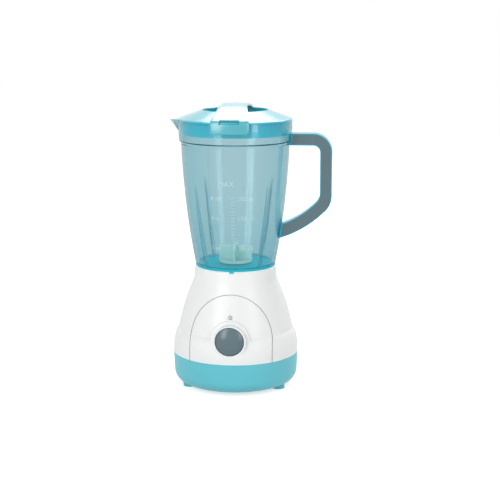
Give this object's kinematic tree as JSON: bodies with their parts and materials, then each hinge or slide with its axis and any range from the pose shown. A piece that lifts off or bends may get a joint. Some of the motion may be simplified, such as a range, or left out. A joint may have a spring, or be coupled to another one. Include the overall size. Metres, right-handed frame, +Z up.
{
  "type": "toy blender",
  "caption": "Toy countertop blender: teal and white base with push button, clear jug with handle and spout, lid with strap, and a paddle turned by a geared motor.",
  "frame": {"origin": "on the spindle's axis, at the height of the surface that the four feet stand on", "axes": "+Z up along the spindle, -Y towards the button, +X towards the jug's handle"},
  "size_m": [0.1347, 0.1073, 0.2367],
  "materials": {
    "teal_housing": "satin gloss",
    "white_housing": "satin gloss",
    "grey_button": "satin",
    "grey_grip": "satin",
    "handle_teal": "gloss",
    "jug_clear": "polished clear plastic",
    "lid_frosted": "frosted",
    "strap_teal": "satin gloss",
    "paddle_mint": "satin gloss",
    "lens_clear": "gloss",
    "steel": "plain",
    "spring_steel": "drawn wire",
    "contact_nickel": "nickel plated",
    "board_green": "solder mask",
    "switch_black": "moulded",
    "gear_nylon": "natural nylon",
    "gear_acetal": "black acetal",
    "case_grey": "moulded",
    "cell_wrap": "printed sleeve, plain",
    "brass": "turned"
  },
  "bodies": {
    "base": {"base_tray": "teal_housing", "battery_cells": "cell_wrap", "battery_contacts": "contact_nickel", "housing_screws": "steel", "body_shell": "white_housing", "front_panel": "white_housing", "control_board": "board_green", "board_screws": "steel", "panel_screws": "steel", "power_switch": "switch_black", "indicator_lens": "lens_clear", "motor_can": "steel", "motor_end_cap": "switch_black", "idler_axle": "steel", "gearbox_case": "case_grey", "gearbox_cover": "case_grey", "gearbox_screws": "steel", "spindle_bushing": "gear_acetal", "button_spring": "spring_steel"},
    "motor_rotor": {"motor_shaft": "steel", "motor_pinion": "brass"},
    "idler": {"idler_gear": "gear_nylon"},
    "spindle": {"drive_spindle": "steel", "spindle_gear": "gear_nylon", "drive_dog": "gear_acetal"},
    "button": {"button_cap": "grey_button"},
    "plunger": {"switch_plunger": "gear_nylon"},
    "battery_door": {"battery_door": "teal_housing", "battery_door_screw": "steel"},
    "jug": {"jug": "jug_clear", "jug_bushing": "gear_acetal", "handle_frame": "handle_teal", "handle_grip_front": "grey_grip", "handle_grip_rear": "grey_grip"},
    "paddle": {"paddle": "paddle_mint", "jug_coupling": "paddle_mint"},
    "lid": {"lid": "lid_frosted", "lid_strap": "strap_teal"}
  },
  "joints": [
    {"name": "spindle_spin", "type": "hinge", "parent": "base", "child": "spindle", "pos_m": [0, 0, 0.08], "axis": [0, 0, 1], "continuous": true},
    {"name": "idler_spin", "type": "hinge", "parent": "base", "child": "idler", "pos_m": [0, 0.0138, 0.0725], "axis": [0, 0, 1], "continuous": true},
    {"name": "motor_spin", "type": "hinge", "parent": "base", "child": "motor_rotor", "pos_m": [-0.01262, 0.00994, 0.06], "axis": [0, 0, 1], "continuous": true},
    {"name": "jug_lift", "type": "slide", "parent": "base", "child": "jug", "axis": [0, 0, 1], "range_m": [0, 0.06]},
    {"name": "paddle_spin", "type": "hinge", "parent": "jug", "child": "paddle", "pos_m": [0, 0, 0.103], "axis": [0, 0, 1], "continuous": true},
    {"name": "lid_lift", "type": "slide", "parent": "jug", "child": "lid", "axis": [0, 0, 1], "range_m": [0, 0.05]},
    {"name": "button_press", "type": "slide", "parent": "base", "child": "button", "axis": [0, 1, 0], "range_m": [0, 0.0022], "stiffness_N_per_m": 400, "springref_m": -0.001, "deforming": ["button_spring"]},
    {"name": "plunger_press", "type": "slide", "parent": "base", "child": "plunger", "axis": [0, 1, 0], "range_m": [0, 0.0022]},
    {"name": "battery_door_open", "type": "hinge", "parent": "base", "child": "battery_door", "pos_m": [-0.027, 0, 0.0035], "axis": [0, 1, 0], "range_deg": [0, 30]}
  ],
  "couplings": [
    {"joint": "idler_spin", "follows": "spindle_spin", "ratio": -2.8333},
    {"joint": "motor_spin", "follows": "spindle_spin", "ratio": 7.5556},
    {"joint": "paddle_spin", "follows": "spindle_spin", "ratio": 1},
    {"joint": "plunger_press", "follows": "button_press", "ratio": 1}
  ]
}
